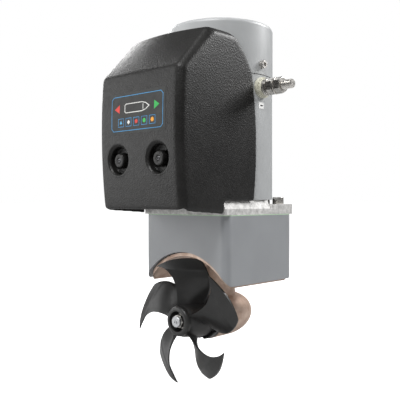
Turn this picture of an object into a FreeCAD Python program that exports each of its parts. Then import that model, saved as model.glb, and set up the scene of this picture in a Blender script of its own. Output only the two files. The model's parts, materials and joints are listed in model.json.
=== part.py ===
import FreeCAD, Part
import os
from math import acos, atan, atan2, cos, degrees, hypot, pi, radians, sin, sqrt, tan

# Electric tunnel thruster for a boat's bow. A DC motor stands on a cast bracket and a saddle block
# outside the thruster tunnel. It drives a five-blade propeller inside the tunnel through a shaft
# coupling and a pair of straight bevel gears in a streamlined leg. A moulded cover on the motor's
# front encloses the two reversing contactors and the control box.
#
# Frame, in millimetres: the motor's axis is Z and the propeller's axis is Y, and they cross at the
# origin. +Z points up to the motor, -Y to the propeller and +X to the open power terminal.

# ---------------------------------------------------------------- driving dimensions

# Clearances
seat_gap = 0.05              # round a fixed piece in its seat
running_gap = 0.05           # radial, of a shaft in its bearing
free_gap = 0.5               # between pieces that pass each other
shaft_air = 1.0              # round a shaft where it passes a wall, and behind a bearing
hub_air = 1.5                # round the coupling and the commutator

# Saddle block on the tunnel
arch_radius = 75.0           # outside radius of the tunnel that the block straddles
block_half_width = 62.4
block_front = -61.2
block_rear = 57.4
block_top = 115.7
block_corner = 9.0
block_bore = 24.5

# Cast motor bracket
gasket_thickness = 0.8
bracket_overhang = 1.6       # how far the bracket's ends pass the block's
bracket_corner = 3.0
bracket_height = 16.2
plate_thickness = 6.5
pad_height = 11.3
flank_slope = 4.2            # how far the raised body's flanks lean in
raised_rear = 14.0           # rear end of the raised body
pad_slot = 3.0               # slot between the raised body and the rear pads
pad_inner = 33.0
neck_radius = 54.0
peg_radius = 1.2
peg_circle = 57.4
bracket_bolt_gap = 1.1       # between the motor and the corner bolts' heads
bolt_radius = 4.0
bolt_head_radius = 6.5
bolt_head_height = 8.0
bolt_socket = 6.0            # across the flats of the hexagon socket
bolt_length = 26.0
motor_bolt_circle = 38.0
motor_bolt_grip = 7.5
motor_bolt_reach = 7.0

# Motor
motor_radius = 60.7
yoke_wall = 6.0
yoke_length = 138.8
cap_step = 0.5               # how far the end cap stands proud of the yoke
cap_length = 58.5
cap_edge = 4.5
cap_roof = 8.0
shield_thickness = 8.0
shield_boss_radius = 25.0
shield_boss_height = 14.5
motor_bearing_radius = 20.0
motor_bearing_width = 12.0
cap_bearing_radius = 17.5
cap_bearing_width = 11.0
cap_boss_wall = 4.5
magnet_thickness = 11.0
magnet_arc = 68.0
magnet_count = 4
cap_screw_rise = 10.8        # above the seam between yoke and end cap
cap_screw_radius = 2.5
cap_screw_head = 4.4
cap_screw_head_height = 4.5
cap_screw_count = 4

# Armature
motor_shaft_radius = 8.5
armature_shaft_radius = 10.0
armature_gap = 1.65          # between the armature and the magnets
armature_length = 76.0
armature_slots = 12
slot_depth = 9.0
slot_width = 5.0
end_turn_length = 12.0
end_turn_step = 6.0          # from the armature in to its end turns
winding_air = 2.0            # above and below the end turns
commutator_radius = 20.0
commutator_length = 28.0
cap_journal_radius = 7.5

# Brush gear
brush_ring_wall = 4.6
brush_ring_length = 32.0
brush_width = 12.0
brush_height = 8.0
brush_length = 16.0
brush_box_wall = 2.0
brush_air = 0.3              # between brush and commutator
spring_radius = 3.2

# Power terminal on the motor's side
terminal_drop = 15.0         # below the seam
terminal_radius = 5.0        # outside of the stud's free thread
terminal_shank = 4.5         # of the stud inside the motor and its nuts
terminal_hole = 5.25         # in the washers and the insulator
terminal_reach = 42.3        # past the yoke
terminal_head_radius = 8.0
terminal_head_height = 5.0
insulator_radius = 11.5
insulator_height = 3.7
insulator_step_radius = 9.5
insulator_step_height = 2.6
insulator_sleeve = 7.0
washer_radius = 9.3
washer_thickness = 2.0
spring_washer_radius = 8.7
spring_washer_thickness = 2.5
terminal_nut_flats = 16.0
terminal_nut_height = 8.4
polarity_drop = 34.5         # label centre below the seam
polarity_width = 9.0
polarity_height = 7.0
film_thickness = 0.3

# Gear leg
leg_gasket_thickness = 1.0
flange_thickness = 3.5
flange_half_width = 58.5
flange_front = -57.0
flange_rear = 54.0
flange_corner = 8.0
strut_front = -28.0
strut_rear = 23.0
strut_half_thickness = 12.0
strut_spread = 11.0          # growth of the strut where it meets the flange
strut_foot = 4.0             # growth of the strut where it meets the torpedo
torpedo_radius = 25.6
torpedo_front = -24.0
torpedo_straight = 5.0       # where the ogive begins
torpedo_tip = 48.6
chamber_radius = 21.5
spigot_radius = 22.0
spigot_height = 10.0
leg_bolt_place = 36.0
leg_bolt_radius = 5.0
leg_bolt_head = 8.0
leg_bolt_head_height = 10.0
leg_bolt_boss = 9.5
leg_bolt_boss_depth = 16.0
leg_bolt_seat = 13.0         # under the block's top

# Bevel gears
gear_module = 1.8
pinion_teeth = 13
gear_teeth = 20
face_width = 7.0
pressure_angle = 20.0
backlash = 0.30
gear_rim = 3.0
pinion_rim = 0.9
gear_air = 0.8               # round the gears in their chamber
gear_hub_radius = 12.0
gear_hub_length = 5.0
pinion_hub_radius = 8.1
pinion_hub_length = 3.5
pinion_bore = 5.0

# Drive shaft and its bearings
drive_shaft_radius = 7.0
needle_radius = 9.8
needle_length = 16.0
leg_bearing_radius = 17.5
leg_bearing_width = 11.0
leg_seal_width = 6.0
seal_case = 5.0              # how thick the leg seal is inside its seat
seal_web = 2.0

# Shaft coupling
coupling_radius = 20.0
coupling_hub_length = 14.0
jaw_height = 8.0
jaw_inner = 9.5
jaw_arc = 40.0
jaw_count = 3
spider_slack = 0.6           # degrees between jaw and spider

# Propeller shaft, its bearings and its seals
propeller_shaft_radius = 7.5
nose_journal_radius = 6.0
nose_bearing_radius = 13.0
nose_bearing_width = 9.0
front_bearing_radius = 17.5
front_bearing_width = 11.0
carrier_radius = 25.0
carrier_length = 9.3
carrier_wall = 2.0
carrier_notches = 6
notch_depth = 3.2
notch_width = 7.0
seal_radius = 13.0
seal_width = 6.0

# Propeller
propeller_radius = 68.0
blade_count = 5
blade_root_angle = 76.0      # of the blade's middle line at the hub
blade_skew = 25.0            # of that line, from hub to tip
blade_half_chord = 22.3      # degrees either side of the middle line
blade_root_pitch = 222.0
blade_tip_pitch = 145.0
blade_root_station = -52.0
blade_tip_station = -57.5
blade_root_thickness = 5.4
blade_tip_thickness = 2.6
blade_edge_thickness = 1.4
blade_tip_round = 7.0
hub_front = -72.0
hub_rear = -33.8
hub_front_radius = 16.5
hub_rear_radius = 21.5
hub_rounding = 3.5
hub_recess_radius = 11.3
hub_recess_depth = 9.5
propeller_thread_radius = 4.0
propeller_washer_radius = 8.5
propeller_washer_thickness = 1.6
propeller_nut_flats = 13.0
propeller_nut_height = 6.5
anode_radius = 6.2
anode_height = 3.2
anode_screw_radius = 2.1
drive_pin_radius = 2.5
drive_pin_length = 30.0
drive_pin_station = -38.5

# Moulded cover
cover_flank = 1.2            # how far the cover's sides pass the end cap
cover_wall = 3.0
cover_bow_radius = 690.0
cover_front = -130.0
cover_bow_height = 207.0     # where the front bulges most
cover_shoulder = 263.5       # where front and slope meet
cover_top = 309.0
cover_top_front = -93.6      # front end of the flat top, at the centre
cover_top_rear = -51.0
cover_rear = -9.5            # rearmost point of the sides
cover_rear_height = 195.0
cover_crown = 11.6           # how far the top's front edge falls back at the sides
cover_front_foot = 120.8
cover_rear_foot = 116.8
cover_notch_front = -63.3
cover_notch_roof = 130.6
cover_bevel = 5.5
cover_foot_rise = 4.0        # height of the bevel round the foot
cover_foot_depth = 2.4
cover_air = 0.3              # between cover and motor
well_place = 30.0
well_height = 174.0
well_radius = 14.5
well_rim = 2.3
well_depth = 9.0
well_wall = 2.5
channel_height = 15.8
channel_depth = 9.0
cover_boss_radius = 7.3
cover_boss_recess = 1.2
cover_screw_radius = 2.0
cover_screw_head = 2.6
label_half_width = 42.5
label_rise = 27.0            # from the wells' axes up to the label
label_drop = 19.5            # from the shoulder down to the label

# Contactors and what holds them
relay_stand_off = 3.3        # between the motor and the relay plate
relay_plate_thickness = 2.5
relay_plate_half_width = 46.0
relay_plate_low = 136.0
relay_plate_high = 250.0
relay_foot_width = 16.0
relay_foot_height = 14.0
relay_foot_inset = 4.0
post_radius = 6.0
post_length = 33.5
contactor_place = 26.5
contactor_radius = 21.5
contactor_rise = 22.0        # from the wells' axes up to the contactors
can_drop = 31.5              # from the motor's seam down to the cans' rims
can_wall = 1.5
contactor_cap_height = 22.0
coil_radius = 19.0
coil_bore = 9.0
coil_room = 11.0             # above the coil in its can
plunger_radius = 8.0
plunger_length = 23.0
plunger_rod_radius = 3.0
contact_disc_radius = 13.0
contact_disc_thickness = 2.5
contact_travel = 2.5
stud_radius = 4.0
stud_spacing = 15.0
stud_height = 12.0
clamp_thickness = 1.5
clamp_height = 10.0
busbar_thickness = 2.0
busbar_width = 14.0
front_terminal_rise = 13.5   # above the seam
control_box_half_width = 38.0
control_box_depth = 44.0
control_box_low = 137.0
control_box_gap = 1.0        # between the box and the wells above it

# ---------------------------------------------------------------- derived places

bracket_low = block_top + gasket_thickness
plate_top = bracket_low + plate_thickness
pad_top = bracket_low + pad_height
motor_low = bracket_low + bracket_height
seam = motor_low + yoke_length
motor_top = seam + cap_length
yoke_bore = motor_radius - yoke_wall
cap_radius = motor_radius + cap_step
bracket_bolt_place = (motor_radius + bolt_head_radius + bracket_bolt_gap) / sqrt(2)
armature_radius = yoke_bore - seat_gap - magnet_thickness - armature_gap
end_turn_radius = armature_radius - end_turn_step

shield_top = motor_low + shield_thickness
shield_boss_top = motor_low + shield_boss_height
motor_bearing_top = shield_boss_top
motor_bearing_low = motor_bearing_top - motor_bearing_width
winding_low = shield_boss_top + winding_air
armature_low = winding_low + end_turn_length
armature_high = armature_low + armature_length
winding_high = armature_high + end_turn_length
cap_screw_height = seam + cap_screw_rise
commutator_low = cap_screw_height - commutator_length / 2
commutator_high = cap_screw_height + commutator_length / 2
cap_bearing_high = motor_top - cap_roof
cap_bearing_low = cap_bearing_high - cap_bearing_width

flange_radius = arch_radius - leg_gasket_thickness
flange_inner = flange_radius - flange_thickness
spigot_top = flange_radius + spigot_height
seal_top = spigot_top - shaft_air
seal_low = seal_top - leg_seal_width
leg_bearing_high = seal_low - free_gap
leg_bearing_low = leg_bearing_high - leg_bearing_width

pinion_pitch_radius = gear_module * pinion_teeth / 2
gear_pitch_radius = gear_module * gear_teeth / 2
cone_distance = hypot(pinion_pitch_radius, gear_pitch_radius)
addendum = gear_module
dedendum = 1.25 * gear_module
pinion_hub_top = gear_pitch_radius + dedendum + pinion_hub_length
needle_low = pinion_hub_top + shaft_air
needle_high = needle_low + needle_length

coupling_low = spigot_top + hub_air
jaw_low = coupling_low + coupling_hub_length
jaw_high = jaw_low + jaw_height
coupling_high = jaw_high + coupling_hub_length
first_jaw = 90 / jaw_count

carrier_front = torpedo_front - carrier_length
seal_seat_end = carrier_front + seal_width
front_bearing_front = seal_seat_end + carrier_wall
front_bearing_rear = front_bearing_front + front_bearing_width
gear_hub_rear = pinion_pitch_radius + dedendum + gear_rim + gear_hub_length
nose_bearing_front = gear_hub_rear + shaft_air
nose_bearing_rear = nose_bearing_front + nose_bearing_width

recess_floor = hub_front + hub_recess_depth
propeller_washer_front = recess_floor - propeller_washer_thickness
propeller_nut_front = propeller_washer_front - propeller_nut_height
anode_front = propeller_nut_front - anode_height

relay_plate_station = -(motor_radius + relay_stand_off)
plate_front = relay_plate_station - relay_plate_thickness
contactor_station = plate_front - contactor_radius - clamp_thickness - 2 * seat_gap
contactor_low = well_height + contactor_rise
can_top = seam - can_drop
coil_low = contactor_low + can_wall
coil_high = can_top - coil_room
contactor_top = can_top + contactor_cap_height
stud_top = contactor_top + stud_height
post_front = plate_front - post_length
control_box_high = well_height - well_radius - well_wall - control_box_gap
cover_half_width = cap_radius + cover_flank
label_low = well_height + label_rise
label_high = cover_shoulder - label_drop
front_terminal_height = seam + front_terminal_rise
terminal_height = seam - terminal_drop


# ---------------------------------------------------------------- shape helpers

def point(x, y, z):
    return FreeCAD.Vector(x, y, z)


def bar(radius, start, end):
    """A round bar between two points."""
    run = point(*end) - point(*start)
    return Part.makeCylinder(radius, run.Length, point(*start), run)


def upright(radius, low, high, x=0.0, y=0.0):
    """A round bar along Z."""
    return bar(radius, (x, y, low), (x, y, high))


def along(radius, front, rear, x=0.0, z=0.0):
    """A round bar along Y."""
    return bar(radius, (x, front, z), (x, rear, z))


def block(low, high):
    size = point(*high) - point(*low)
    return Part.makeBox(size.x, size.y, size.z, point(*low))


def face_of(corners):
    return Part.Face(Part.makePolygon(corners + corners[:1]))


def turned(profile, axis):
    """A solid of revolution from (radius, station) pairs, about Z or about Y."""
    if axis == "z":
        corners = [point(radius, 0, station) for radius, station in profile]
        return face_of(corners).revolve(point(0, 0, 0), point(0, 0, 1), 360)
    corners = [point(radius, station, 0) for radius, station in profile]
    return face_of(corners).revolve(point(0, 0, 0), point(0, 1, 0), 360)


def hexagon(flats, start, end):
    """A hexagonal bar from one point to another, with the given size across its flats."""
    run = point(*end) - point(*start)
    corner = flats / sqrt(3)
    corners = [point(corner * cos(i * pi / 3), corner * sin(i * pi / 3), 0) for i in range(6)]
    solid = face_of(corners).extrude(point(0, 0, run.Length))
    solid.Placement = FreeCAD.Placement(point(*start), FreeCAD.Rotation(point(0, 0, 1), run))
    return solid


def around(shape, angle, axis="z"):
    turn = shape.copy()
    turn.rotate(point(0, 0, 0), point(0, 0, 1) if axis == "z" else point(0, 1, 0), angle)
    return turn


def repeated(shape, count, start=0.0, axis="z"):
    return [around(shape, start + 360 * i / count, axis) for i in range(count)]


def joined(shapes):
    """Separate solids that make one node."""
    return Part.makeCompound(shapes)


def sector(inner, outer, low, high, middle, spread):
    """A block of a ring about Z, between two heights."""
    ring = Part.makeCylinder(outer, high - low, point(0, 0, low), point(0, 0, 1), spread)
    ring = ring.cut(upright(inner, low, high))
    return around(ring, middle - spread / 2)


def socket_screw(radius, length, head_radius, head_height, socket, seat, direction):
    """A cap screw: its shank runs from the seat along the direction, its head stands behind."""
    run = point(*direction)
    start = point(*seat)
    shank = Part.makeCylinder(radius, length, start, run)
    head = Part.makeCylinder(head_radius, head_height, start, run * -1)
    crown = start - run * head_height
    head = head.makeChamfer(head_height * 0.08, [edge for edge in head.Edges
                                                 if edge.BoundBox.Center.distanceToPoint(crown) < 0.01])
    recess = hexagon(socket, tuple(crown), tuple(crown + run * head_height * 0.55))
    return shank.fuse(head).cut(recess).removeSplitter()


def bearing(inner, outer, low, high, axis):
    """A shielded ball bearing: both races stand a little proud of the shields."""
    race = (outer - inner) * 0.22
    dish = (high - low) * 0.06
    profile = [(inner, low), (inner + race, low), (inner + race, low + dish),
               (outer - race, low + dish), (outer - race, low), (outer, low),
               (outer, high), (outer - race, high), (outer - race, high - dish),
               (inner + race, high - dish), (inner + race, high), (inner, high)]
    return turned(profile, axis)


# ---------------------------------------------------------------- saddle and bracket

def plan_box(half_width, front, rear, low, high, corner):
    """A box with its four upright edges rounded."""
    solid = block((-half_width, front, low), (half_width, rear, high))
    upright_edges = [edge for edge in solid.Edges
                     if abs(edge.BoundBox.ZLength - (high - low)) < 0.01]
    return solid.makeFillet(corner, upright_edges)


def bolt_corners():
    place = bracket_bolt_place
    return [(x, y) for x in (-place, place) for y in (-place, place)]


def saddle_block():
    solid = plan_box(block_half_width, block_front, block_rear, 0, block_top, block_corner)
    solid = solid.cut(along(arch_radius, block_front - 1, block_rear + 1))
    solid = solid.cut(upright(block_bore, 0, block_top + 1))
    for x, y in bolt_corners():
        solid = solid.cut(upright(bolt_radius + seat_gap, pad_top - bolt_length - 2, block_top + 1, x, y))
    for y in (-leg_bolt_place, leg_bolt_place):
        solid = solid.cut(upright(leg_bolt_radius + seat_gap, 0, block_top, 0, y))
        solid = solid.cut(upright(leg_bolt_head + free_gap, block_top - leg_bolt_seat,
                                  block_top + 1, 0, y))
    return solid


def bracket_gasket():
    solid = plan_box(block_half_width, block_front, block_rear, block_top, bracket_low, block_corner)
    solid = solid.cut(upright(block_bore, block_top - 1, bracket_low + 1))
    for x, y in bolt_corners():
        solid = solid.cut(upright(bolt_radius + seat_gap, block_top - 1, bracket_low + 1, x, y))
    return solid


def motor_bracket():
    front = block_front - bracket_overhang - free_gap
    rear = block_rear + bracket_overhang
    base = plan_box(block_half_width, front, rear, bracket_low, plate_top, bracket_corner)
    top_half_width = block_half_width - flank_slope
    flanks = face_of([point(-block_half_width, front, plate_top), point(block_half_width, front, plate_top),
                      point(top_half_width, front, motor_low), point(-top_half_width, front, motor_low)])
    raised = flanks.extrude(point(0, raised_rear - front, 0))
    neck = upright(neck_radius, plate_top, motor_low)
    pads = plan_box(block_half_width, raised_rear + pad_slot, rear, plate_top, pad_top, bracket_corner)
    pads = pads.cut(block((-pad_inner, raised_rear, plate_top), (pad_inner, rear + 1, pad_top + 1)))
    solid = base.fuse([raised, neck, pads]).removeSplitter()
    peg_place = peg_circle / sqrt(2)
    for x in (-peg_place, peg_place):
        solid = solid.fuse(upright(peg_radius, pad_top - 1, motor_low, x, peg_place))
    solid = solid.cut(upright(block_bore, bracket_low - 1, motor_low + 1))
    for x, y in bolt_corners():
        solid = solid.cut(upright(bolt_radius + seat_gap, bracket_low - 1, pad_top + 1, x, y))
        solid = solid.cut(upright(bolt_head_radius + free_gap, pad_top, motor_low + 1, x, y))
    seat = motor_low - motor_bolt_grip
    hole = upright(bolt_radius + seat_gap, bracket_low, motor_low + 1, motor_bolt_circle)
    hole = hole.fuse(upright(bolt_head_radius + free_gap, bracket_low - 1, seat, motor_bolt_circle))
    for cutter in repeated(hole, 4):
        solid = solid.cut(cutter)
    return solid.removeSplitter()


def bracket_bolts():
    return [socket_screw(bolt_radius, bolt_length, bolt_head_radius, bolt_head_height,
                         bolt_socket, (x, y, pad_top), (0, 0, -1)) for x, y in bolt_corners()]


def motor_bolts():
    screw = socket_screw(bolt_radius, motor_bolt_grip + motor_bolt_reach, bolt_head_radius,
                         bolt_head_height, bolt_socket,
                         (motor_bolt_circle, 0, motor_low - motor_bolt_grip), (0, 0, 1))
    return repeated(screw, 4)


# ---------------------------------------------------------------- motor

def motor_yoke():
    solid = upright(motor_radius, motor_low, seam).cut(upright(yoke_bore, motor_low - 1, seam + 1))
    hole = bar(insulator_sleeve + seat_gap, (0, 0, terminal_height), (cap_radius, 0, terminal_height))
    return solid.cut(hole)


def drive_end_shield():
    rim = yoke_bore - seat_gap
    shaft_hole = motor_shaft_radius + shaft_air
    seat = motor_bearing_radius + seat_gap
    solid = turned([(shaft_hole, motor_low), (rim, motor_low), (rim, shield_top),
                    (shield_boss_radius + 4, shield_top), (shield_boss_radius, shield_top + 3),
                    (shield_boss_radius, shield_boss_top), (seat, shield_boss_top),
                    (seat, motor_bearing_low), (shaft_hole, motor_bearing_low)], "z")
    hole = upright(bolt_radius + seat_gap, motor_low - 1, motor_low + motor_bolt_reach, motor_bolt_circle)
    for cutter in repeated(hole, 4):
        solid = solid.cut(cutter)
    return solid


def end_cap():
    roof = motor_top - cap_roof
    boss = cap_bearing_radius + cap_boss_wall
    seat = cap_bearing_radius + seat_gap
    solid = turned([(yoke_bore, seam), (cap_radius, seam), (cap_radius, motor_top), (0, motor_top),
                    (0, roof), (seat, roof), (seat, cap_bearing_low), (boss, cap_bearing_low),
                    (boss, roof), (yoke_bore, roof)], "z")
    rim = [edge for edge in solid.Edges
           if edge.BoundBox.ZMin > motor_top - 0.01 and edge.BoundBox.XLength > cap_radius]
    solid = solid.makeFillet(cap_edge, rim)
    hole = bar(cap_screw_radius + seat_gap, (0, 0, cap_screw_height), (cap_radius + 1, 0, cap_screw_height))
    for cutter in repeated(hole, cap_screw_count):
        solid = solid.cut(cutter)
    for x in (-contactor_place, contactor_place):
        solid = solid.cut(along(stud_radius + seat_gap, -cap_radius, 0, x, front_terminal_height))
    return solid


def cap_screws():
    seat = cap_radius
    length = seat - yoke_bore + brush_ring_wall
    screw = socket_screw(cap_screw_radius, length, cap_screw_head, cap_screw_head_height,
                         cap_screw_radius * 1.6, (seat, 0, cap_screw_height), (-1, 0, 0))
    return joined(repeated(screw, cap_screw_count))


def field_magnets():
    outer = yoke_bore - seat_gap
    magnet = sector(outer - magnet_thickness, outer, armature_low - winding_air,
                    armature_high + winding_air, 0, magnet_arc)
    return joined(repeated(magnet, magnet_count, 45))


def brush_ring():
    outer = yoke_bore - seat_gap
    inner = outer - brush_ring_wall
    low = cap_screw_height - brush_ring_length / 2
    solid = upright(outer, low, low + brush_ring_length).cut(upright(inner, low - 1, motor_top))
    half_width = brush_width / 2 + brush_box_wall
    half_height = brush_height / 2 + brush_box_wall
    start = commutator_radius + hub_air
    holder = block((start, -half_width, cap_screw_height - half_height),
                   (outer - brush_ring_wall / 2, half_width, cap_screw_height + half_height))
    slot = block((0, -brush_width / 2 - seat_gap, cap_screw_height - brush_height / 2 - seat_gap),
                 (inner, brush_width / 2 + seat_gap, cap_screw_height + brush_height / 2 + seat_gap))
    for cutter in repeated(bar(cap_screw_radius + seat_gap, (0, 0, cap_screw_height),
                               (cap_radius, 0, cap_screw_height)), cap_screw_count):
        solid = solid.cut(cutter)
    for x in (-contactor_place, contactor_place):
        solid = solid.cut(along(stud_radius + seat_gap, -cap_radius, 0, x, front_terminal_height))
    return solid.fuse(repeated(holder.cut(slot), 4, 45)).removeSplitter()


def brush_body():
    face = commutator_radius + brush_air
    solid = block((0, -brush_width / 2, cap_screw_height - brush_height / 2),
                  (face + brush_length, brush_width / 2, cap_screw_height + brush_height / 2))
    return solid.cut(upright(face, commutator_low - 1, commutator_high + 1))


def brush_springs():
    start = commutator_radius + brush_air + brush_length
    end = sqrt((yoke_bore - seat_gap - brush_ring_wall) ** 2 - spring_radius ** 2)
    coil = bar(spring_radius, (start, 0, cap_screw_height), (end, 0, cap_screw_height))
    bore = bar(spring_radius * 0.6, (start, 0, cap_screw_height), (end, 0, cap_screw_height))
    return joined(repeated(coil.cut(bore), 4, 45))


# ---------------------------------------------------------------- power terminal

def terminal_stations():
    """Where each piece on the stud ends, from the insulator outwards along X."""
    insulator = motor_radius + insulator_height + insulator_step_height
    washer = insulator + washer_thickness
    spring_washer = washer + spring_washer_thickness
    nut = spring_washer + terminal_nut_height
    lock_washer = nut + washer_thickness
    lock_nut = lock_washer + terminal_nut_height
    return insulator, washer, spring_washer, nut, lock_washer, lock_nut


def on_stud(radius, start, end):
    """A round piece on the terminal's axis."""
    return bar(radius, (start, 0, terminal_height), (end, 0, terminal_height))


def terminal_insulator():
    ends = terminal_stations()
    collar = on_stud(insulator_radius, yoke_bore, motor_radius + insulator_height)
    step = on_stud(insulator_step_radius, motor_radius, ends[0])
    rounded = collar.fuse(step).cut(upright(motor_radius + seat_gap, motor_low, seam))
    sleeve = on_stud(insulator_sleeve, yoke_bore - 2, motor_radius + 1)
    return rounded.fuse(sleeve).cut(on_stud(terminal_hole, 0, ends[0] + 1)).removeSplitter()


def terminal_stud():
    """The stud: a round head in the motor, a shank, and the free thread past the lock nut."""
    head_end = yoke_bore - 2
    tip = motor_radius + terminal_reach
    free_start = terminal_stations()[-1]
    thread = on_stud(terminal_radius, free_start, tip)
    thread = thread.makeChamfer(terminal_radius * 0.25,
                                [edge for edge in thread.Edges if edge.BoundBox.XMin > tip - 0.01])
    head = on_stud(terminal_head_radius, head_end - terminal_head_height, head_end)
    return head.fuse([on_stud(terminal_shank, head_end - 1, free_start + 1), thread])


def ring_on_stud(radius, start, end):
    return on_stud(radius, start, end).cut(on_stud(terminal_hole, start - 1, end + 1))


def terminal_washers():
    ends = terminal_stations()
    return joined([ring_on_stud(washer_radius, ends[0], ends[1]),
                   ring_on_stud(spring_washer_radius, ends[1], ends[2]),
                   ring_on_stud(washer_radius, ends[3], ends[4])])


def hex_nut(flats, bore, start, end):
    """A hexagon nut with its corners turned off at both ends."""
    body = hexagon(flats, start, end)
    run = point(*end) - point(*start)
    height = run.Length
    low = flats / 2 * 0.97
    high = flats / sqrt(3)
    rise = (high - low) * 0.6
    turned_shape = turned([(0, 0), (low, 0), (high, rise), (high, height - rise),
                           (low, height), (0, height)], "z")
    turned_shape.Placement = FreeCAD.Placement(point(*start), FreeCAD.Rotation(point(0, 0, 1), run))
    return body.common(turned_shape).cut(bar(bore, start, end))


def terminal_nut(first, last):
    ends = terminal_stations()
    return hex_nut(terminal_nut_flats, terminal_shank + seat_gap, (ends[first], 0, terminal_height),
                   (ends[last], 0, terminal_height))


def polarity_label():
    middle = seam - polarity_drop
    spread = degrees(polarity_width / motor_radius)
    return sector(motor_radius, motor_radius + film_thickness, middle - polarity_height / 2,
                  middle + polarity_height / 2, 0, spread)


# ---------------------------------------------------------------- gear leg

def saddle_sheet(outer, inner, half_width, front, rear, corner):
    """A sheet bent round the tunnel's axis, cut to a rounded rectangle in plan."""
    sheet = along(outer, front - 1, rear + 1).cut(along(inner, front - 2, rear + 2))
    return sheet.common(plan_box(half_width, front, rear, 1, arch_radius + 1, corner))


def oval(front, rear, half_thickness, height):
    """The leg's streamlined section: an ellipse across the flow."""
    length = (rear - front) / 2
    middle = point(0, (rear + front) / 2, height)
    long_end = middle + point(0, length, 0)
    wide_end = middle + point(half_thickness, 0, 0)
    if length >= half_thickness:
        return Part.Wire(Part.Ellipse(long_end, wide_end, middle).toShape())
    return Part.Wire(Part.Ellipse(wide_end, long_end, middle).toShape())


def strut():
    """The leg's neck, lofted through ovals that widen into torpedo and flange."""
    neck_low = torpedo_radius + strut_foot
    rise = flange_inner - neck_low
    stations = [(torpedo_radius * 0.5, strut_foot), (neck_low, 0), (neck_low + rise * 0.5, 0),
                (neck_low + rise * 0.85, strut_spread * 0.35), (flange_inner + 1, strut_spread)]
    sections = [oval(strut_front - growth, strut_rear + growth, strut_half_thickness + growth, height)
                for height, growth in stations]
    return Part.makeLoft(sections, True, False)


def torpedo():
    """The gear housing: a round barrel with an elliptical nose."""
    nose = Part.Ellipse(point(0, torpedo_tip, 0), point(torpedo_radius, torpedo_straight, 0),
                        point(0, torpedo_straight, 0))
    quarter = Part.Edge(nose, 0, pi / 2)
    ends = sorted((vertex.Point for vertex in quarter.Vertexes), key=lambda end: end.y)
    shoulder = ends[0]
    tip = ends[1]
    front = point(torpedo_radius, torpedo_front, 0)
    centre = point(0, torpedo_front, 0)
    outline = Part.Wire([Part.makeLine(tip, centre), Part.makeLine(centre, front),
                         Part.makeLine(front, shoulder), quarter])
    return Part.Face(outline).revolve(point(0, 0, 0), point(0, 1, 0), 360)


def gear_leg():
    solid = saddle_sheet(flange_radius, flange_inner, flange_half_width, flange_front, flange_rear,
                         flange_corner)
    roof = along(flange_radius, flange_front, flange_rear)
    spigot = upright(spigot_radius, flange_inner - strut_foot, spigot_top)
    solid = solid.fuse([strut().common(roof), torpedo(), spigot])
    for y in (-leg_bolt_place, leg_bolt_place):
        boss = upright(leg_bolt_boss, flange_radius - leg_bolt_boss_depth, flange_radius + 1, 0, y)
        solid = solid.fuse(boss.common(roof))
        solid = solid.cut(upright(leg_bolt_radius + seat_gap, flange_radius - leg_bolt_boss_depth + 3,
                                  arch_radius, 0, y))
    solid = solid.cut(along(carrier_radius + free_gap, flange_front, torpedo_front))
    chamber_rear = nose_bearing_front - free_gap
    solid = solid.cut(along(chamber_radius, torpedo_front - 1, chamber_rear))
    solid = solid.cut(along(nose_bearing_radius + seat_gap, 0, nose_bearing_rear + free_gap))
    pinion_room = cone_distance * sin(atan(pinion_teeth / gear_teeth) + atan(addendum / cone_distance))
    back = gear_pitch_radius + dedendum + free_gap
    solid = solid.cut(turned([(0, 0), (pinion_room + gear_air, 0), (pinion_room + gear_air, gear_pitch_radius),
                              (needle_radius, back), (0, back)], "z"))
    solid = solid.cut(upright(needle_radius + seat_gap, 0, needle_high))
    solid = solid.cut(upright(drive_shaft_radius + shaft_air, 0, spigot_top + 1))
    solid = solid.cut(upright(leg_bearing_radius + seat_gap, leg_bearing_low, spigot_top + 1))
    return solid


def shaft_seal():
    """A lip seal: an outer case, a web and a lip that leans on the shaft."""
    inner = drive_shaft_radius + running_gap
    web = seal_low + seal_web
    return turned([(inner, seal_low), (leg_bearing_radius, seal_low), (leg_bearing_radius, seal_top),
                   (leg_bearing_radius - seal_case, seal_top), (leg_bearing_radius - seal_case, web),
                   (drive_shaft_radius + seal_web, web), (inner, seal_top)], "z")


def leg_gasket():
    sheet = saddle_sheet(arch_radius, flange_radius, flange_half_width, flange_front, flange_rear,
                         flange_corner)
    sheet = sheet.cut(upright(block_bore, 0, arch_radius + 1))
    for y in (-leg_bolt_place, leg_bolt_place):
        sheet = sheet.cut(upright(leg_bolt_radius + seat_gap, 0, arch_radius + 1, 0, y))
    return sheet


def leg_bolts():
    seat = block_top - leg_bolt_seat
    length = seat - (flange_radius - leg_bolt_boss_depth + 4)
    return joined([socket_screw(leg_bolt_radius, length, leg_bolt_head, leg_bolt_head_height,
                                leg_bolt_head, (0, y, seat), (0, 0, -1))
                   for y in (-leg_bolt_place, leg_bolt_place)])


def seal_carrier():
    """The black end ring: it closes the torpedo and holds the front bearing and the seals."""
    spigot = chamber_radius - seat_gap
    rear = front_bearing_rear
    seat = front_bearing_radius + seat_gap
    seal = seal_radius + seat_gap
    bore = propeller_shaft_radius + shaft_air
    solid = turned([(seal, carrier_front), (carrier_radius - 1, carrier_front),
                    (carrier_radius, carrier_front + 1), (carrier_radius, torpedo_front),
                    (spigot, torpedo_front), (spigot, rear), (seat, rear),
                    (seat, front_bearing_front), (bore, front_bearing_front), (bore, seal_seat_end),
                    (seal, seal_seat_end)], "y")
    low = carrier_radius - notch_depth
    notch = block((low, carrier_front - 1, -notch_width / 2),
                  (carrier_radius + 1, torpedo_front - carrier_length * 0.35, notch_width / 2))
    for cutter in repeated(notch, carrier_notches, 30, "y"):
        solid = solid.cut(cutter)
    return solid


# ---------------------------------------------------------------- bevel gears

def involute(angle):
    return tan(angle) - angle


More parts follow.
